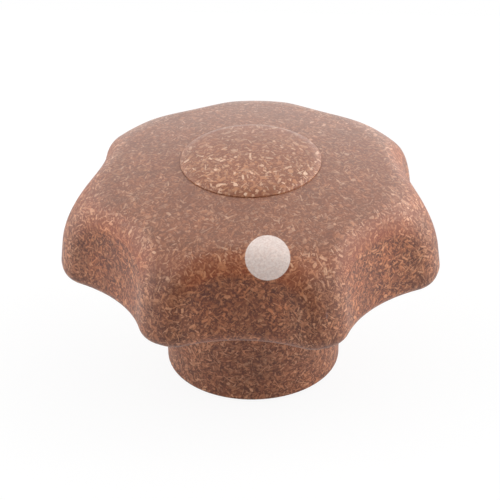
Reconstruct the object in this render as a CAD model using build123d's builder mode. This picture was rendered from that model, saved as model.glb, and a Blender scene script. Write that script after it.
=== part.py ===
"""Star knob: a seven-lobed moulded grip with a threaded bush in its hub and a clipped-in centre cap.

Millimetres, +Z up. The origin is the centre of the hub's bottom face, where the knob meets
the work that it clamps. One valley between two lobes faces -Y, and one lobe points along +Y.
"""

import os
from math import asin, cos, pi, radians, sin, tan

from build123d import *

# --- grip: head ----------------------------------------------------------------------------
lobes = 7
grip_diameter = 50.0
hub_length = 15.0  # from the hub's face up to the rim of the head
head_height = 15.0  # from the rim up to the crown of the dome
dome_radius = 77.0
shoulder_radius = 9.2  # between the dome and the side wall
side_draft = 5.0  # degrees, on the side wall and in the finger scallops
lobe_width = 5.0  # between two scallops, at the rim
scallop_depth = 3.75  # at the rim
lobe_edge_radius = 4.0  # where a scallop runs out into the wall and the dome
rim_radius = 2.0

# --- grip: hub and the cored-out underside -------------------------------------------------
hub_diameter = 22.5
hub_edge_radius = 0.5
core_draft = 1.0  # degrees, on the hub and the core pockets
rim_wall = 4.0
core_depth = 7.5
core_corner_radius = 1.5
core_floor_radius = 0.8  # where the pockets end inside the head
rib_thickness = 2.4
rib_setback = 1.2  # the ribs stop this far inside the rim

# --- threaded bush -------------------------------------------------------------------------
bush_diameter = 14.0
bush_length = 19.0
bush_collar_diameter = 12.8  # plain ends, so that the mould seals on them
bush_collar_length = 1.5
bush_groove_diameter = 12.2  # the waist that keeps the bush from pulling out
bush_groove_width = 3.0
knurl_teeth = 24
knurl_depth = 0.45
thread_diameter = 10.0  # M10
tapping_diameter = 8.5
thread_depth = 15.0
mouth_margin = 0.2  # the countersunk mouth is this much wider than the thread
mouth_angle = 120.0  # degrees, included
drill_point_angle = 118.0  # degrees, included

# --- centre cap ----------------------------------------------------------------------------
cap_diameter = 18.0
cap_proud = 0.55  # the cap's edge above the dome around it
cap_crown_radius = 50.0
cap_edge_radius = 0.8
cap_plate = 2.2  # plate thickness at its edge
seat_chamfer = 0.04
spigot_diameter = 12.0
spigot_wall = 1.4
spigot_length = 3.4
snap_height = 0.2  # the bead on the spigot, and its groove in the grip
snap_width = 0.8
snap_offset = 0.8  # from the spigot's end to the bead
cap_clearance = 0.05  # all round the cap and its spigot
spigot_end_gap = 0.4

# --- places worked out from the sizes above ------------------------------------------------
grip_radius = grip_diameter / 2
rim_z = hub_length
crown_z = rim_z + head_height
first_valley = -90.0
valley_radius = grip_radius - scallop_depth
lobe_edge_angle = pi / lobes - asin(lobe_width / 2 / grip_radius)  # from a valley to its lobe's edge
lobe_edge_out = grip_radius * cos(lobe_edge_angle) - valley_radius
lobe_edge_aside = grip_radius * sin(lobe_edge_angle)
scallop_radius = (lobe_edge_out**2 + lobe_edge_aside**2) / (2 * lobe_edge_out)
scallop_centre = valley_radius + scallop_radius
hub_radius = hub_diameter / 2
hub_root_radius = hub_radius + hub_length * tan(radians(core_draft))
pocket_floor_z = rim_z + core_depth
bush_radius = bush_diameter / 2
bore_radius = tapping_diameter / 2
mouth_radius = (thread_diameter + mouth_margin) / 2
mouth_depth = (mouth_radius - bore_radius) / tan(radians(mouth_angle / 2))
point_depth = bore_radius / tan(radians(drill_point_angle / 2))
cap_radius = cap_diameter / 2
dome_centre_z = crown_z - dome_radius
dome_at_cap_z = dome_centre_z + (dome_radius**2 - cap_radius**2) ** 0.5
cap_edge_z = dome_at_cap_z + cap_proud
cap_seat_z = cap_edge_z - cap_plate
cap_crown_centre_z = cap_edge_z - (cap_crown_radius**2 - cap_radius**2) ** 0.5
spigot_radius = spigot_diameter / 2
spigot_end_z = cap_seat_z - spigot_length
snap_low_z = spigot_end_z + snap_offset
snap_mid_z = snap_low_z + snap_width / 2
snap_high_z = snap_low_z + snap_width
seat_radius = cap_radius + cap_clearance
socket_radius = spigot_radius + cap_clearance


# --- outer form of the bush: the bush itself and its bed in the hub share it ---------------
with BuildPart() as bush_form:
    with BuildSketch(Plane.XZ) as bush_section:
        with Locations((0, bush_collar_length)):
            Rectangle(bush_radius, bush_length - 2 * bush_collar_length, align=Align.MIN)
        Rectangle(bush_collar_diameter / 2, bush_length, align=Align.MIN)
        with Locations((bush_groove_diameter / 2, bush_length / 2)):
            Rectangle(bush_radius, bush_groove_width, align=(Align.MIN, Align.CENTER), mode=Mode.SUBTRACT)
    revolve(axis=Axis.Z)
    with BuildSketch(Plane.XY.offset(bush_collar_length)) as knurl_grooves:
        with PolarLocations(bush_radius, knurl_teeth):
            Rectangle(knurl_depth * 2**0.5, knurl_depth * 2**0.5, rotation=45)
    extrude(amount=bush_length - 2 * bush_collar_length, mode=Mode.SUBTRACT)

# --- threaded bush -------------------------------------------------------------------------
with BuildPart() as threaded_bush:
    add(bush_form.part)
    with BuildSketch(Plane.XZ) as tapped_hole:
        with BuildLine():
            Polyline(
                (0, 0),
                (mouth_radius, 0),
                (bore_radius, mouth_depth),
                (bore_radius, thread_depth),
                (0, thread_depth + point_depth),
                close=True,
            )
        make_face()
    revolve(axis=Axis.Z, mode=Mode.SUBTRACT)
threaded_bush.part.label = "threaded_bush"

# --- centre cap ----------------------------------------------------------------------------
with BuildPart() as centre_cap:
    with BuildSketch(Plane.XZ) as plate_section:
        with Locations((0, cap_crown_centre_z)):
            Circle(cap_crown_radius)
        with Locations((0, cap_seat_z)):
            Rectangle(cap_radius, cap_crown_radius, align=Align.MIN, mode=Mode.INTERSECT)
        fillet(plate_section.vertices().group_by(Axis.X)[-1].sort_by(Axis.Y)[-1], cap_edge_radius)
    revolve(axis=Axis.Z)
    with BuildSketch(Plane.XZ) as spigot_section:
        with BuildLine():
            Polyline(
                (spigot_radius - spigot_wall, cap_seat_z),
                (spigot_radius - spigot_wall, spigot_end_z),
                (spigot_radius, spigot_end_z),
                (spigot_radius, snap_low_z),
                (spigot_radius + snap_height, snap_mid_z),
                (spigot_radius, snap_high_z),
                (spigot_radius, cap_seat_z),
                close=True,
            )
        make_face()
    revolve(axis=Axis.Z)
centre_cap.part.label = "centre_cap"

# --- grip ----------------------------------------------------------------------------------
with BuildPart() as grip:
    # domed head, turned, with its shoulder
    with BuildSketch(Plane.XZ) as head_section:
        with BuildLine():
            Polyline(
                (0, rim_z),
                (grip_radius, rim_z),
                (grip_radius - head_height * tan(radians(side_draft)), crown_z),
                (0, crown_z),
                close=True,
            )
        make_face()
        with Locations((0, dome_centre_z)):
            Circle(dome_radius, mode=Mode.INTERSECT)
        fillet(head_section.vertices().sort_by(Axis.X)[-2], shoulder_radius)
    revolve(axis=Axis.Z)

    # finger scallops, wider towards the dome by the draft
    with Locations((0, 0, rim_z)):
        with PolarLocations(scallop_centre, lobes, start_angle=first_valley):
            Cone(
                scallop_radius,
                scallop_radius + head_height * tan(radians(side_draft)),
                head_height,
                align=(Align.CENTER, Align.CENTER, Align.MIN),
                mode=Mode.SUBTRACT,
            )
    rim_edges = grip.edges().filter_by_position(Axis.Z, rim_z, rim_z)
    fillet(grip.edges(Select.LAST) - rim_edges, lobe_edge_radius)
    fillet(grip.edges().filter_by_position(Axis.Z, rim_z, rim_z), rim_radius)

    # hub, from its face up into the head
    with BuildSketch(Plane.XY):
        Circle(hub_radius)
    extrude(amount=hub_length, taper=-core_draft)
    fillet(grip.edges().filter_by_position(Axis.Z, 0, 0), hub_edge_radius)

    # cored-out underside: a shallow ring, then one pocket under each lobe with a rib between
    with BuildSketch(Plane.XY.offset(rim_z)) as core_ring:
        Circle(grip_radius - rim_wall)
        with PolarLocations(scallop_centre, lobes, start_angle=first_valley):
            Circle(scallop_radius + rim_wall, mode=Mode.SUBTRACT)
        Circle(hub_root_radius, mode=Mode.SUBTRACT)
    extrude(amount=rib_setback, mode=Mode.SUBTRACT)
    with BuildSketch(Plane.XY.offset(rim_z)) as core_pockets:
        add(core_ring.sketch)
        with PolarLocations(0, lobes, start_angle=first_valley):
            Rectangle(grip_radius, rib_thickness, align=(Align.MIN, Align.CENTER), mode=Mode.SUBTRACT)
        offset(amount=-core_corner_radius, kind=Kind.INTERSECTION, mode=Mode.REPLACE)
        offset(amount=core_corner_radius, kind=Kind.ARC, mode=Mode.REPLACE)
    extrude(amount=core_depth, taper=core_draft, mode=Mode.SUBTRACT)
    fillet(grip.edges().filter_by_position(Axis.Z, pocket_floor_z, pocket_floor_z), core_floor_radius)

    # bed of the bush, and the seat, socket and snap groove of the cap
    add(bush_form.part, mode=Mode.SUBTRACT)
    with BuildSketch(Plane.XZ) as cap_seat:
        with BuildLine():
            Polyline(
                (0, spigot_end_z - spigot_end_gap),
                (socket_radius, spigot_end_z - spigot_end_gap),
                (socket_radius, snap_low_z),
                (socket_radius + snap_height, snap_mid_z),
                (socket_radius, snap_high_z),
                (socket_radius, cap_seat_z),
                (seat_radius, cap_seat_z),
                (seat_radius, dome_at_cap_z - seat_chamfer),
                (seat_radius + 2 * seat_chamfer, dome_at_cap_z + seat_chamfer),
                (seat_radius + 2 * seat_chamfer, crown_z),
                (0, crown_z),
                close=True,
            )
        make_face()
    revolve(axis=Axis.Z, mode=Mode.SUBTRACT)
grip.part.label = "grip"

# --- files ---------------------------------------------------------------------------------
os.makedirs("parts", exist_ok=True)
for piece in (grip, threaded_bush, centre_cap):
    export_step(piece.part, f"parts/{piece.part.label}.step")
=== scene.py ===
"""Looks of the star knob: a seven-lobed grip in wood-fibre compound, its centre cap, and its brass bush.

Metres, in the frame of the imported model: +Z is the thread's axis, the hub stands on Z = 0.
Patterns are worked out in millimetres, from Object coordinates.
"""
import math

import bpy
import numpy as np
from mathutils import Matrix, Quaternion, Vector


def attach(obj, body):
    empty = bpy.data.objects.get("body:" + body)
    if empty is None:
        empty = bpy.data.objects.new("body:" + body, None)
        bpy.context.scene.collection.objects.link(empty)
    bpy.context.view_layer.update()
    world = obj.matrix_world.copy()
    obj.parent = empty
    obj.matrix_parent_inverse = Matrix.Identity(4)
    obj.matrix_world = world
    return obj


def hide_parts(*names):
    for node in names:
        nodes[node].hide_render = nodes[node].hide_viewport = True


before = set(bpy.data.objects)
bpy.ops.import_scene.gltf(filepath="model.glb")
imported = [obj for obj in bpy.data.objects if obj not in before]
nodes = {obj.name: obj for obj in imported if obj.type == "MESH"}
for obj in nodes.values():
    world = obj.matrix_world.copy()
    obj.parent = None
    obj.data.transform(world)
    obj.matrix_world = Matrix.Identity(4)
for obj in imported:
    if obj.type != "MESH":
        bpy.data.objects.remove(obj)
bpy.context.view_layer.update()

MM = 0.001

# --- sizes of the bush, as the model has them (mm) -----------------------------------------
BUSH_RADIUS = 7.0
BUSH_LENGTH = 19.0
COLLAR_RADIUS = 6.4
COLLAR_LENGTH = 1.5
WAIST_RADIUS = 6.1
WAIST_WIDTH = 3.0
KNURL_TEETH = 24
KNURL_DEPTH = 0.45
KNURL_GROOVE = 0.16  # a groove's width as a share of one tooth's pitch
BORE_RADIUS = 4.25
THREAD_RADIUS = 5.0  # M10, at the bottom of the internal thread
THREAD_PITCH = 1.5
THREAD_LENGTH = 15.0
THREAD_END = 14.7  # the tap's tapered lead has faded the thread out here,
LEAD_LENGTH = 2.6  # over this length
CREST_FLAT, ROOT_FLAT = 1 / 4, 1 / 8  # of the pitch
MOUTH_RADIUS = 5.1
MOUTH_DEPTH = 0.49
DRILL_POINT = 2.55
BUSH_TURNS = 192  # points round the bush
ROWS_PER_PITCH = 18

# --- sizes of the centre cap, as the model has them (mm) -----------------------------------
CROWN_RADIUS = 50.0
CROWN_CENTRE = -19.162  # height of the middle of the crown's sphere
CAP_RADIUS = 9.045  # reaches the wall of its seat, as the real one does
LIP_START = 7.6  # the crown turns down into the lip here
LIP_END = 29.62  # the lip ends a little above the dome, in a small upright step
LIP_STEP = 0.15
SEAT_HEIGHT = 27.822
SPIGOT_RADIUS = 6.0
SPIGOT_BORE = 4.6
SPIGOT_END = 24.422
SNAP_LOW, SNAP_MID, SNAP_HIGH = 25.222, 25.622, 26.022
SNAP_RISE = 0.2
CAP_TURNS = 180  # points round the cap
CROWN_ROWS, LIP_ROWS = 16, 12
INNERMOST = 0.4  # radius of the crown's first row, round its pole

SHARP_ANGLE = 28  # degrees, over which an edge of a turned piece stays crisp

# --- printed index dot (mm) ----------------------------------------------------------------
DOT_RADIUS = 2.80
DOT_EDGE = 0.04  # half the width over which the ink fades out
DOT_RAGGED = 0.03  # how far its edge wanders, either way
DOT_PLACE = (3.07, -19.26, 27.03)  # its middle, where a lobe's valley starts
DOT_BEARING = 3.4  # degrees, from -Y towards +X
DOT_RISE = 32.0  # degrees, the axis above the floor
DOT_REACH = (-6.0, -5.0)  # depth along the axis at which the print has ended, so the back stays bare
DOT_SEE_THROUGH = 0.16  # share of the compound seen through the ink
DOT_FRAY = (6.0, 2.0)  # scale (1/mm) and detail of the noise that its edge follows
DOT_GRAIN = (3.6, 3.0, 0.7)  # scale, detail and roughness of the ink's own grain


# ============================================ node helpers ================================
class Sheet:
    """A node tree with short calls for the nodes that the materials below are drawn with."""

    def __init__(self, tree):
        self.tree = tree

    def put(self, kind, *links, **settings):
        """Adds a node; links are (socket, value or output) pairs and settings are its own properties."""
        node = self.tree.nodes.new(kind)
        for key, value in settings.items():
            setattr(node, key, value)
        for socket, value in links:
            self.feed(node.inputs[socket], value)
        return node

    def feed(self, socket, value):
        """Links an output to a socket, or sets the socket to a plain value; None leaves it alone."""
        if isinstance(value, bpy.types.NodeSocket):
            self.tree.links.new(value, socket)
        elif value is not None:
            socket.default_value = value

    def calc(self, operation, a, b=None, c=None):
        """One step of arithmetic."""
        return self.put("ShaderNodeMath", (0, a), (1, b), (2, c), operation=operation).outputs[0]

    def vector(self, operation, a, b=None, scale=None):
        """One step of arithmetic on vectors."""
        node = self.put("ShaderNodeVectorMath", (0, a), (1, b), operation=operation)
        if scale is not None:
            self.feed(node.inputs["Scale"], scale)
        return node.outputs["Value" if operation in ("DOT_PRODUCT", "LENGTH") else "Vector"]

    def from_axis(self, place):
        """Distance of a place from the knob's axis."""
        return self.vector("LENGTH", self.vector("MULTIPLY", place, (1.0, 1.0, 0.0)))

    def step(self, value, low, high, to_low=0.0, to_high=1.0):
        """value carried smoothly from low..high to to_low..to_high, and held flat outside."""
        node = self.put("ShaderNodeMapRange", ("Value", value), ("From Min", low), ("From Max", high),
                        ("To Min", to_low), ("To Max", to_high), interpolation_type="SMOOTHSTEP")
        return node.outputs["Result"]

    def noise(self, place, scale, detail, rough=0.5, twist=0.0):
        """Soft noise, mostly between 0.3 and 0.7."""
        node = self.put("ShaderNodeTexNoise", ("Vector", place), ("Scale", scale), ("Detail", detail),
                        ("Roughness", rough), ("Distortion", twist))
        return node.outputs["Fac"]

    def blend(self, share, a, b, way="MIX"):
        """Colour a turned into b by share."""
        node = self.put("ShaderNodeMix", ("Factor", share), data_type="RGBA", blend_type=way)
        self.feed(node.inputs[6], a)
        self.feed(node.inputs[7], b)
        return node.outputs[2]


def tint(red, green, blue):
    """A colour from linear values."""
    return (red, green, blue, 1.0)


def new_material(name):
    """An empty material with a Principled shader, its sheet, and its Object coordinates in millimetres."""
    material = bpy.data.materials.new(name)
    material.use_nodes = True
    sheet = Sheet(material.node_tree)
    shader = material.node_tree.nodes["Principled BSDF"]
    place = sheet.put("ShaderNodeTexCoord").outputs["Object"]
    place = sheet.vector("SCALE", place, scale=1 / MM)
    return material, sheet, shader, place


def slope(bearing, rise):
    """The direction at a bearing from -Y towards +X and a rise above the floor, both in radians."""
    return (math.sin(bearing) * math.cos(rise), -math.cos(bearing) * math.cos(rise), math.sin(rise))


# ============================================ wood-fibre compound =========================
SHORTEST, LENGTH_SPREAD = 0.35, 0.9  # of a layer's half length
NARROWEST, WIDTH_SPREAD = 0.5, 0.8  # of a layer's half width
BLUNTNESS = 4.0


def make_fibre_group():
    """One layer of loose fibres in the surface.

    Each Voronoi cell holds one fibre. Its direction is the cell's random vector crossed with
    the surface normal, so it lies in the surface. With a and b the distances from the cell's
    point along and across the fibre, bent by b + bend * a^2, the fibre is where
    (a / half length)^4 + (b / half width)^2 is under 1, which gives it blunt ends.
    """
    group = bpy.data.node_groups.new("fibre_layer", "ShaderNodeTree")
    sockets = group.interface
    for name in ("Place", "Normal"):
        sockets.new_socket(name, in_out="INPUT", socket_type="NodeSocketVector")
    for name in ("Cell", "Length", "Width", "Bend", "Edge", "Filled"):
        sockets.new_socket(name, in_out="INPUT", socket_type="NodeSocketFloat")
    for name in ("Fibre", "Tone", "Crown"):
        sockets.new_socket(name, in_out="OUTPUT", socket_type="NodeSocketFloat")
    s = Sheet(group)
    ins = s.put("NodeGroupInput").outputs
    cells = s.put("ShaderNodeTexVoronoi", ("Vector", ins["Place"]),
                  ("Scale", s.calc("DIVIDE", 1.0, ins["Cell"])), ("Randomness", 1.0),
                  voronoi_dimensions="3D", feature="F1", distance="EUCLIDEAN")
    chance = cells.outputs["Color"]
    split = s.put("ShaderNodeSeparateXYZ", (0, chance)).outputs
    # four more chances from the three that a cell has
    bow, long, thick, tone = (
        s.calc("FRACT", s.calc("MULTIPLY_ADD", split[one], factor, split[other]))
        for one, factor, other in ((0, 17.3, 1), (1, 23.9, 2), (2, 31.7, 0), (0, 41.1, 2)))
    offset = s.vector("SUBTRACT", ins["Place"], cells.outputs["Position"])
    along = s.vector("NORMALIZE", s.vector("CROSS_PRODUCT", ins["Normal"],
                                           s.vector("SUBTRACT", chance, (0.5, 0.5, 0.5))))
    across = s.vector("CROSS_PRODUCT", ins["Normal"], along)
    a = s.vector("DOT_PRODUCT", offset, along)
    b = s.vector("DOT_PRODUCT", offset, across)
    bend = s.calc("MULTIPLY", s.calc("SUBTRACT", bow, 0.5), ins["Bend"])
    b = s.calc("MULTIPLY_ADD", s.calc("MULTIPLY", a, a), bend, b)
    half_length = s.calc("MULTIPLY", ins["Length"], s.calc("MULTIPLY_ADD", long, LENGTH_SPREAD, SHORTEST))
    half_width = s.calc("MULTIPLY", ins["Width"], s.calc("MULTIPLY_ADD", thick, WIDTH_SPREAD, NARROWEST))
    far = s.calc("POWER", s.calc("ABSOLUTE", s.calc("DIVIDE", a, half_length)), BLUNTNESS)
    wide = s.calc("DIVIDE", b, half_width)
    reach = s.calc("ADD", far, s.calc("MULTIPLY", wide, wide))
    fibre = s.step(reach, 1.0, s.calc("SUBTRACT", 1.0, ins["Edge"]))
    fibre = s.calc("MULTIPLY", fibre, s.calc("LESS_THAN", split[1], ins["Filled"]))
    out = s.put("NodeGroupOutput")
    s.feed(out.inputs["Fibre"], fibre)
    s.feed(out.inputs["Tone"], tone)
    s.feed(out.inputs["Crown"], s.calc("SUBTRACT", 1.0, s.calc("MINIMUM", reach, 1.0)))
    return group


FIBRES = make_fibre_group()

# cell, half length, half width (mm), bend (1/mm), edge softness, share of cells filled, strength
GRIP_LAYERS = (
    (0.65, 0.28, 0.160, 0.3, 0.95, 1.00, 0.40),
    (0.95, 0.40, 0.185, 0.2, 0.95, 1.00, 0.40),
    (2.10, 0.70, 0.320, 0.1, 0.90, 0.70, 0.34),
    (0.50, 0.24, 0.080, 0.3, 0.80, 1.00, 0.50),
    (1.10, 0.44, 0.150, 0.2, 0.75, 0.90, 0.55),
    (1.70, 0.52, 0.270, 0.1, 0.60, 0.55, 0.56),
    (0.80, 0.40, 0.080, 0.3, 0.65, 0.85, 0.63),
    (1.80, 0.85, 0.085, 0.2, 0.60, 0.70, 0.63),
    (1.25, 0.52, 0.125, 0.1, 0.50, 0.75, 0.70),
    (1.45, 0.40, 0.220, 0.1, 0.40, 0.42, 0.80),
)
CAP_LAYERS = GRIP_LAYERS[:8] + (
    (1.10, 0.52, 0.150, 0.2, 0.45, 0.90, 0.74),
    (1.30, 0.50, 0.240, 0.1, 0.35, 0.85, 0.82),
)
RAISED_LAYERS = 4  # the top ones, which stand in relief

# patterns in the compound: scale (1/mm), detail, roughness and twist of a noise
CLOUDS = (0.22, 3.0, 0.55)
WARM_PATCHES = (0.30, 2.0, 0.5)
WARM_SHIFT = (21.0, 5.0, 13.0)  # keeps them apart from the other patterns
MOTTLE = (1.1, 4.0, 0.62, 0.4)
FINE_GRAIN = (4.2, 3.0, 0.6)
RAGGEDNESS = 0.035  # how far (mm) the fine grain frays a fibre's edge

# what a pattern adds: its value from and to, and the share that goes with each
MOTTLE_SHARE = (0.38, 0.70, 0.0, 0.6)
FINE_SHARE = (0.45, 0.72, 0.0, 0.5)
FIBRES_IN_CLOUDS = (0.36, 0.60, 0.75, 1.0)
DARK_IN_CLOUDS = (0.35, 0.62, 0.25, 0.0)
WARM_SHARE = (0.35, 0.65, 0.05, 0.40)
TAN_FIBRES, CREAM_FIBRES = (0.05, 0.50), (0.60, 1.0)  # by a fibre's own tone
CREAM_ON_WALLS = (0.0, 0.5, 0.55, 1.0)  # fewer cream ones there, by how level the place is

# places in the compound, by the upward part of the normal: 0 on a wall, 1 on the level top
LEVEL = (0.45, 0.98)
SKIN = (0.84, 0.99)
WALL = (0.75, 0.35)
SHOULDER_FOOT, SHOULDER_TOP = (0.10, 0.35), (0.97, 0.75)
VALLEY_TOP = (0.96, 0.70)
# and by the distance from the axis (mm): the valleys lie between the hub and the lobes' outer walls
LOBE_WALL = (23.4, 21.4)
VALLEY_OUTER, VALLEY_INNER = (23.4, 21.8), (13.0, 16.0)
# and from front to back along Y (mm)
FRONT_TO_BACK = (-6.0, 7.0)

# shares of the painted shade round the shoulder, on the lobes and in the valleys
SHOULDER_SHADE_ON_LOBES, SHOULDER_SHADE_IN_VALLEYS = 0.3, 0.9
WARM_TINT = tint(1.10, 0.92, 0.82)
CLOUD_TINT = tint(0.76, 0.70, 0.66)
# painted shade: the valleys darker and more orange
VALLEY_PAINTED_SHADE = tint(0.99, 0.86, 0.73)
# painted shade: the upright walls darker and more orange
WALL_PAINTED_SHADE = tint(0.99, 0.85, 0.72)
LEVEL_TINT = tint(1.00, 0.95, 0.92)
WALL_ROUGHNESS, TOP_ROUGHNESS = 0.60, 0.40
FIBRE_POLISH = -0.10  # roughness, on the crown of a fibre
COMPOUND_RELIEF = 0.03 * MM
RELIEF_STRENGTH = 0.35
GRAIN_RELIEF = 0.35  # of the fibres' relief


def fibre_compound(name, layers, gap, resin, shoulder_shade_colour, brown, tan, cream, skin_share, shift,
                   fewer_behind=0.0):
    """Short wood fibres in brown resin: layers of slivers, each paler and crisper than the one below.

    gap is the resin between the fibres on the upright walls, and resin is its colour on the
    level top, where the moulding's skin hides skin_share of them. The shoulder's colour is
    painted shade, a deep orange-brown round the shoulder, strongest in the valleys. brown, tan
    and cream are the fibres. fewer_behind thins them out towards +Y.
    """
    material, s, shader, place = new_material(name)
    normal = s.put("ShaderNodeNewGeometry").outputs["True Normal"]
    upward = s.put("ShaderNodeSeparateXYZ", (0, normal)).outputs[2]
    level = s.step(upward, *LEVEL)
    cloud = s.noise(s.vector("ADD", place, shift), *CLOUDS)
    warmth = s.noise(s.vector("ADD", place, WARM_SHIFT), *WARM_PATCHES)
    mottle = s.noise(place, *MOTTLE)
    scale, detail, rough = FINE_GRAIN
    grain = s.put("ShaderNodeTexNoise", ("Vector", place), ("Scale", scale), ("Detail", detail),
                  ("Roughness", rough)).outputs
    fine = grain["Fac"]
    ragged = s.vector("SUBTRACT", grain["Color"], (0.5, 0.5, 0.5))
    ragged = s.vector("SCALE", ragged, scale=RAGGEDNESS)

    # the resin under the fibres, with painted shade round the shoulder
    aside = s.from_axis(place)
    # painted shade: a deep orange-brown band where the dome turns down, strongest in the valleys
    shoulder = s.calc("MULTIPLY", s.step(upward, *SHOULDER_FOOT), s.step(upward, *SHOULDER_TOP))
    shoulder = s.calc("MULTIPLY", shoulder, s.step(aside, *LOBE_WALL, SHOULDER_SHADE_ON_LOBES, SHOULDER_SHADE_IN_VALLEYS))
    colour = s.blend(shoulder, s.blend(level, gap, resin), shoulder_shade_colour)
    colour = s.blend(s.step(mottle, *MOTTLE_SHARE), colour, brown)
    colour = s.blend(s.step(fine, *FINE_SHARE), colour, brown)

    # the fibres, layer over layer
    shown = s.calc("MULTIPLY", s.step(cloud, *FIBRES_IN_CLOUDS), s.step(upward, *SKIN, 1.0, 1.0 - skin_share))
    if fewer_behind:
        back = s.put("ShaderNodeSeparateXYZ", (0, place)).outputs[1]
        shown = s.calc("MULTIPLY", shown, s.step(back, *FRONT_TO_BACK, 1.0, 1.0 - fewer_behind))
    cream_share = s.step(level, *CREAM_ON_WALLS)
    relief = None
    for k, (cell, length, width, bend, edge, filled, strength) in enumerate(layers):
        # each layer is cut from another place of the pattern
        moved = s.vector("ADD", place, (11.3 * k + shift[0], 7.7 * k * k + 3.1, 5.9 * k + shift[2]))
        layer = s.put("ShaderNodeGroup", ("Place", s.vector("ADD", moved, ragged)), ("Normal", normal),
                      ("Cell", cell), ("Length", length), ("Width", width), ("Bend", bend),
                      ("Edge", edge), ("Filled", filled), node_tree=FIBRES).outputs
        tone = layer["Tone"]
        paint = s.blend(s.step(tone, *TAN_FIBRES), brown, tan)
        paint = s.blend(s.calc("MULTIPLY", s.step(tone, *CREAM_FIBRES), cream_share), paint, cream)
        share = s.calc("MULTIPLY", s.calc("MULTIPLY", layer["Fibre"], strength), shown)
        colour = s.blend(share, colour, paint)
        if k >= len(layers) - RAISED_LAYERS:
            rise = s.calc("MULTIPLY", layer["Crown"], layer["Fibre"])
            relief = rise if relief is None else s.calc("MAXIMUM", relief, rise)

    # warm and dark patches, painted shade in the valleys and on the upright walls, and the tone of the top
    # painted shade in the valleys, between the hub and the lobes' outer walls
    valley = s.calc("MULTIPLY", s.step(aside, *VALLEY_OUTER), s.step(aside, *VALLEY_INNER))
    valley = s.calc("MULTIPLY", valley, s.step(upward, *VALLEY_TOP))
    for share, cast in ((s.step(warmth, *WARM_SHARE), WARM_TINT),
                        (s.step(cloud, *DARK_IN_CLOUDS), CLOUD_TINT),
                        (valley, VALLEY_PAINTED_SHADE), (s.step(upward, *WALL), WALL_PAINTED_SHADE), (level, LEVEL_TINT)):
        colour = s.blend(share, colour, cast, "MULTIPLY")
    s.feed(shader.inputs["Base Color"], colour)
    polish = s.step(level, 0.0, 1.0, WALL_ROUGHNESS, TOP_ROUGHNESS)
    s.feed(shader.inputs["Roughness"], s.calc("MULTIPLY_ADD", relief, FIBRE_POLISH, polish))
    shader.inputs["IOR"].default_value = 1.62
    shader.inputs["Sheen Weight"].default_value = 0.22
    shader.inputs["Sheen Roughness"].default_value = 0.42
    height = s.calc("MULTIPLY_ADD", fine, GRAIN_RELIEF, relief)
    bump = s.put("ShaderNodeBump", ("Strength", RELIEF_STRENGTH), ("Distance", COMPOUND_RELIEF),
                 ("Height", height))
    s.feed(shader.inputs["Normal"], bump.outputs["Normal"])
    return material, s, shader, place, colour


def print_dot(s, shader, place, colour):
    """A thin pale print over the compound, through which its fibres show.

    It is the disc whose distance from the dot's axis is under its radius, with an edge that
    wanders a little, on the near side of the knob only.
    """
    axis = slope(math.radians(DOT_BEARING), math.radians(DOT_RISE))
    from_place = s.vector("SUBTRACT", place, DOT_PLACE)
    depth = s.vector("DOT_PRODUCT", from_place, axis)
    aside = s.vector("LENGTH", s.vector("SUBTRACT", from_place, s.vector("SCALE", axis, scale=depth)))
    wander = s.calc("MULTIPLY_ADD", s.noise(place, *DOT_FRAY), 2 * DOT_RAGGED, -DOT_RAGGED)
    inside = s.step(s.calc("ADD", aside, wander), DOT_RADIUS + DOT_EDGE, DOT_RADIUS - DOT_EDGE)
    near = s.step(depth, *DOT_REACH)
    grain = s.noise(place, *DOT_GRAIN)
    ink = s.blend(s.step(grain, 0.35, 0.65), tint(0.84, 0.69, 0.63), tint(1.0, 0.88, 0.82))
    ink = s.blend(DOT_SEE_THROUGH, ink, colour)
    s.feed(shader.inputs["Base Color"], s.blend(s.calc("MULTIPLY", inside, near), colour, ink))


# the shoulder's deep orange-brown is painted shade
grip_material, *grip_surface = fibre_compound(
    "grip_fibre_compound", GRIP_LAYERS, gap=tint(0.105, 0.029, 0.013), resin=tint(0.215, 0.094, 0.059),
    shoulder_shade_colour=tint(0.270, 0.072, 0.024), brown=tint(0.300, 0.116, 0.058), tan=tint(0.605, 0.292, 0.160),
    cream=tint(0.84, 0.57, 0.41), skin_share=0.50, shift=(4.0, 9.0, 2.0))
print_dot(*grip_surface)
# the shoulder's deep orange-brown is painted shade
cap_material, *_ = fibre_compound(
    "cap_fibre_compound", CAP_LAYERS, gap=tint(0.220, 0.078, 0.038), resin=tint(0.235, 0.086, 0.043),
    shoulder_shade_colour=tint(0.290, 0.098, 0.042), brown=tint(0.310, 0.117, 0.056), tan=tint(0.545, 0.260, 0.132),
    cream=tint(0.92, 0.67, 0.49), skin_share=0.05, shift=(31.0, 2.0, 7.0), fewer_behind=0.6)


# ============================================ brass =======================================
RING_SCALE = 9.0  # 1/mm, the turning marks
RING_LENGTH = 0.12  # 1/mm, so that they run on round the piece
RINGS = (1.0, 3.0, 0.6)  # scale, detail and roughness of their noise
TARNISH = (0.5, 3.0, 0.6)
BRASS, TARNISHED, BRIGHT = tint(0.80, 0.56, 0.24), tint(0.62, 0.40, 0.16), tint(0.9, 0.7, 0.38)
BRASS_RELIEF = 0.03 * MM


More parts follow.
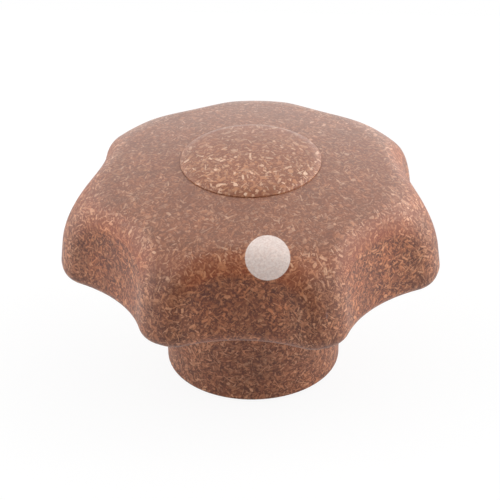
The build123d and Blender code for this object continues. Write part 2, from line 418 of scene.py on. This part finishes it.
def turned_brass(name):
    """Turned brass: fine rings round the axis in tone, roughness and bump, with a faint tarnish."""
    material, s, shader, place = new_material(name)
    on_sides = s.noise(s.vector("MULTIPLY", place, (RING_LENGTH, RING_LENGTH, RING_SCALE)), *RINGS)
    outward = s.put("ShaderNodeCombineXYZ", (0, s.calc("MULTIPLY", s.from_axis(place), RING_SCALE)))
    on_ends = s.noise(outward.outputs[0], *RINGS)
    rings = s.calc("MULTIPLY_ADD", on_sides, 0.5, s.calc("MULTIPLY", on_ends, 0.5))
    colour = s.blend(s.step(s.noise(place, *TARNISH), 0.4, 0.7), BRASS, TARNISHED)
    colour = s.blend(s.step(rings, 0.3, 0.7, 0.0, 0.3), colour, BRIGHT)
    s.feed(shader.inputs["Base Color"], colour)
    shader.inputs["Metallic"].default_value = 1.0
    s.feed(shader.inputs["Roughness"], s.step(rings, 0.3, 0.7, 0.22, 0.38))
    bump = s.put("ShaderNodeBump", ("Strength", 0.15), ("Distance", BRASS_RELIEF), ("Height", rings))
    s.feed(shader.inputs["Normal"], bump.outputs["Normal"])
    return material


# ============================================ turned pieces ===============================
def turned(name, radius, height, angle, start, end):
    """A closed surface round the axis from a grid: radius and height (mm) by row and angle.

    The rows run from the top, out and down the outside, and back up the inside; start and end
    are the heights of the two points on the axis that close it.
    """
    rows, turns = radius.shape
    points = np.stack([radius * np.cos(angle), radius * np.sin(angle), height], -1).reshape(-1, 3)
    points = np.vstack([points, [(0, 0, start), (0, 0, end)]]) * MM
    i, j = np.meshgrid(np.arange(rows - 1), np.arange(turns), indexing="ij")
    k = (j + 1) % turns
    quads = np.stack([i * turns + j, (i + 1) * turns + j, (i + 1) * turns + k, i * turns + k], -1)
    ring = np.arange(turns)
    after = (ring + 1) % turns
    first = np.stack([np.full(turns, rows * turns), ring, after], -1)
    last_row = (rows - 1) * turns
    last = np.stack([np.full(turns, rows * turns + 1), last_row + after, last_row + ring], -1)
    mesh = bpy.data.meshes.new(name)
    mesh.from_pydata(points.tolist(), [], quads.reshape(-1, 4).tolist() + first.tolist() + last.tolist())
    mesh.update()
    piece = bpy.data.objects.new(name, mesh)
    bpy.context.scene.collection.objects.link(piece)
    mesh.shade_smooth()
    mesh.set_sharp_from_angle(angle=math.radians(SHARP_ANGLE))
    return piece


def threaded_bush():
    """The bush with its real thread, as one closed surface round the axis.

    A profile runs from the inner end, down the outside to the mouth, and up the bore to the
    drill point. Outside, the radius loses a triangle wave of the angle where the knurl is. In
    the bore it gains the thread: with t = the fraction of z / pitch - angle / turn, the groove
    is a 60 degree vee with flats, 0 at the crest and 1 at the root, and it fades out over the
    tap's lead.
    """
    angle = np.linspace(0, 2 * np.pi, BUSH_TURNS, endpoint=False)
    waist_low, waist_high = (BUSH_LENGTH - WAIST_WIDTH) / 2, (BUSH_LENGTH + WAIST_WIDTH) / 2
    knurl_low, knurl_high = COLLAR_LENGTH, BUSH_LENGTH - COLLAR_LENGTH
    e = 0.001  # height of a step from one radius to the next
    outside = np.array([  # radius, height, and 1 where it is knurled
        (COLLAR_RADIUS, BUSH_LENGTH, 0), (COLLAR_RADIUS, knurl_high, 0), (BUSH_RADIUS, knurl_high - e, 1),
        (BUSH_RADIUS, waist_high, 1), (WAIST_RADIUS, waist_high - e, 0), (WAIST_RADIUS, waist_low + e, 0),
        (BUSH_RADIUS, waist_low, 1), (BUSH_RADIUS, knurl_low + e, 1), (COLLAR_RADIUS, knurl_low, 0),
        (COLLAR_RADIUS, 0, 0)], float)
    wave = np.abs((angle * KNURL_TEETH / (2 * np.pi)) % 1 - 0.5) * 2
    tooth = KNURL_DEPTH * np.clip(1 - (1 - wave) / KNURL_GROOVE, 0, 1)
    outer_r = outside[:, 0, None] - outside[:, 2, None] * tooth
    outer_z = np.repeat(outside[:, 1, None], BUSH_TURNS, 1)

    # the bore, from the mouth up to the drill point
    z = np.linspace(0.03, THREAD_LENGTH, int(THREAD_LENGTH / THREAD_PITCH * ROWS_PER_PITCH))
    z = np.concatenate([[0.0], z])
    phase = (z[:, None] / THREAD_PITCH - angle / (2 * np.pi)) % 1
    from_crest = 0.5 - np.abs(phase - 0.5) - CREST_FLAT / 2
    vee = np.clip(from_crest / (0.5 - CREST_FLAT / 2 - ROOT_FLAT / 2), 0, 1)
    fade = np.clip((THREAD_END - z) / LEAD_LENGTH, 0, 1)[:, None]
    bore = BORE_RADIUS + (THREAD_RADIUS - BORE_RADIUS) * vee * fade
    mouth = MOUTH_RADIUS - (MOUTH_RADIUS - BORE_RADIUS) * np.minimum(z / MOUTH_DEPTH, 1)[:, None]
    bore_r = np.maximum(bore, mouth)
    bore_z = np.repeat(z[:, None], BUSH_TURNS, 1)
    return turned("threaded_bush_turned", np.vstack([outer_r, bore_r]), np.vstack([outer_z, bore_z]),
                  angle, BUSH_LENGTH, THREAD_LENGTH + DRILL_POINT)


def centre_cap():
    """The cap as one turned surface: a spherical crown, a soft lip, the plate, and the spigot with its bead.

    The lip is the arc that leaves the crown along its slope and ends at the seat's wall: an arc
    that starts at the slope p and whose chord has the slope q turns by 2 (q - p).
    """
    angle = np.linspace(0, 2 * np.pi, CAP_TURNS, endpoint=False)
    r = np.linspace(INNERMOST, LIP_START, CROWN_ROWS)
    crown = np.stack([r, CROWN_CENTRE + np.sqrt(CROWN_RADIUS**2 - r**2)], 1)
    crown_end = crown[-1, 1]
    run, drop = CAP_RADIUS - LIP_START, crown_end - LIP_END
    p = math.asin(LIP_START / CROWN_RADIUS)
    q = math.atan2(drop, run)
    lip_radius = math.hypot(run, drop) / (2 * math.sin(q - p))
    t = p + np.linspace(0, 2 * (q - p), LIP_ROWS + 1)[1:]
    lip = np.stack([LIP_START + lip_radius * (np.sin(t) - math.sin(p)),
                    crown_end - lip_radius * (math.cos(p) - np.cos(t))], 1)
    below = [(CAP_RADIUS, LIP_END - LIP_STEP), (CAP_RADIUS, SEAT_HEIGHT), (SPIGOT_RADIUS, SEAT_HEIGHT),
             (SPIGOT_RADIUS, SNAP_HIGH), (SPIGOT_RADIUS + SNAP_RISE, SNAP_MID), (SPIGOT_RADIUS, SNAP_LOW),
             (SPIGOT_RADIUS, SPIGOT_END), (SPIGOT_BORE, SPIGOT_END), (SPIGOT_BORE, SEAT_HEIGHT)]
    profile = np.vstack([crown, lip, below])
    spread = np.ones_like(angle)
    return turned("centre_cap_turned", profile[:, 0, None] * spread, profile[:, 1, None] * spread,
                  angle, CROWN_CENTRE + CROWN_RADIUS, SEAT_HEIGHT)


def dress(node, material):
    """Gives a model node one material."""
    slots = node.data.materials
    slots.clear()
    slots.append(material)


brass = turned_brass("bush_turned_brass")
dress(nodes["grip"], grip_material)
dress(nodes["centre_cap"], cap_material)
dress(nodes["threaded_bush"], brass)
bush = threaded_bush()
bush.data.materials.append(brass)
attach(bush, "root")
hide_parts("threaded_bush")
cap = centre_cap()
cap.data.materials.append(cap_material)
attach(cap, "root")
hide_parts("centre_cap")


# ============================================ studio ======================================
WHITE = tint(1, 1, 1)
PAPER = tint(0.80, 0.80, 0.80)
FLOOR_WHITE, FLOOR_GLOW = 0.85, 1.05  # how far the camera sees the floor as white, and its strength
REFLECTED_WHITE = 0.1  # the same for reflections, low, so that the gloss doesn't grey the dark valleys
FLOOR_SIDE, FLOOR_FRONT, FLOOR_HEIGHT = 0.095, -0.075, -0.00002  # just under the hub's face

# the soft lights round the knob: degrees from -Y towards +X, degrees up, strength
SOFT_LIGHTS = ((90, 12, 3.20), (135, 12, 1.25), (180, 12, 0.75), (225, 12, 0.45), (270, 12, 2.90),
               (112, 45, 1.00), (247, 45, 0.60), (292, 45, 0.35))
LIGHT_SPREAD = 6.0  # each is exp(spread * (cosine from its middle - 1))


def white_share(s, seen):
    """How far a ray finds plain white: the camera's and those through glass by seen, reflections by less."""
    ray = s.put("ShaderNodeLightPath").outputs
    straight = s.calc("MAXIMUM", ray["Is Camera Ray"], ray["Is Transmission Ray"])
    reflected = s.calc("MULTIPLY", ray["Is Glossy Ray"], REFLECTED_WHITE)
    return s.calc("MAXIMUM", s.calc("MULTIPLY", straight, seen), reflected)


def bare_sheet(holder):
    """The empty sheet of a material or world."""
    holder.use_nodes = True
    holder.node_tree.nodes.clear()
    return Sheet(holder.node_tree)


def studio_floor():
    """A pale floor that keeps the shadow and looks white to the camera."""
    side, front, low = FLOOR_SIDE, FLOOR_FRONT, FLOOR_HEIGHT
    mesh = bpy.data.meshes.new("floor")
    mesh.from_pydata([(-side, front, low), (side, front, low), (side, side, low), (-side, side, low)],
                     [], [(0, 1, 2, 3)])
    floor = bpy.data.objects.new("floor", mesh)
    bpy.context.scene.collection.objects.link(floor)
    material = bpy.data.materials.new("floor_paper")
    s = bare_sheet(material)
    paper = s.put("ShaderNodeBsdfDiffuse", ("Color", PAPER)).outputs[0]
    white = s.put("ShaderNodeEmission", ("Color", WHITE), ("Strength", FLOOR_GLOW)).outputs[0]
    mixed = s.put("ShaderNodeMixShader", (0, white_share(s, FLOOR_WHITE)), (1, paper), (2, white))
    s.put("ShaderNodeOutputMaterial", ("Surface", mixed.outputs[0]))
    mesh.materials.append(material)


def studio_world():
    """Soft light from both sides and the back, none from the front; white to the camera."""
    world = bpy.data.worlds.new("studio")
    bpy.context.scene.world = world
    s = bare_sheet(world)
    way = s.put("ShaderNodeTexCoord").outputs["Generated"]
    total = 0.0
    for bearing, rise, strength in SOFT_LIGHTS:
        middle = slope(math.radians(bearing), math.radians(rise))
        near = s.calc("SUBTRACT", s.vector("DOT_PRODUCT", way, middle), 1.0)
        glow = s.calc("EXPONENT", s.calc("MULTIPLY", near, LIGHT_SPREAD))
        total = s.calc("MULTIPLY_ADD", glow, strength, total)
    light = s.put("ShaderNodeBackground", ("Color", WHITE), ("Strength", total)).outputs[0]
    white = s.put("ShaderNodeBackground", ("Color", WHITE), ("Strength", 1.0)).outputs[0]
    mixed = s.put("ShaderNodeMixShader", (0, white_share(s, 1.0)), (1, light), (2, white))
    s.put("ShaderNodeOutputWorld", ("Surface", mixed.outputs[0]))


def camera():
    """A long lens, from a little right of the front valley and about 32 degrees above the floor."""
    bearing, rise, roll = math.radians(3.44), math.radians(32.02), -0.0139
    distance, lens, sensor, nearest = 0.4510, 249.6, 36.0, 0.01
    middle, framing = Vector((0, 0, 0.015)), Vector((-0.27 * MM, 0.90 * MM, 0))
    view = Vector(slope(bearing, rise))
    turn = (-view).to_track_quat("-Z", "Y") @ Quaternion((0, 0, 1), roll)
    data = bpy.data.cameras.new("camera")
    data.lens = lens
    data.sensor_width = sensor
    data.clip_start = nearest
    eye = bpy.data.objects.new("camera", data)
    bpy.context.scene.collection.objects.link(eye)
    eye.rotation_mode = "QUATERNION"
    eye.rotation_quaternion = turn
    eye.location = middle + turn @ framing + view * distance
    bpy.context.scene.camera = eye


studio_floor()
studio_world()
camera()
bpy.context.scene.view_settings.view_transform = "Standard"
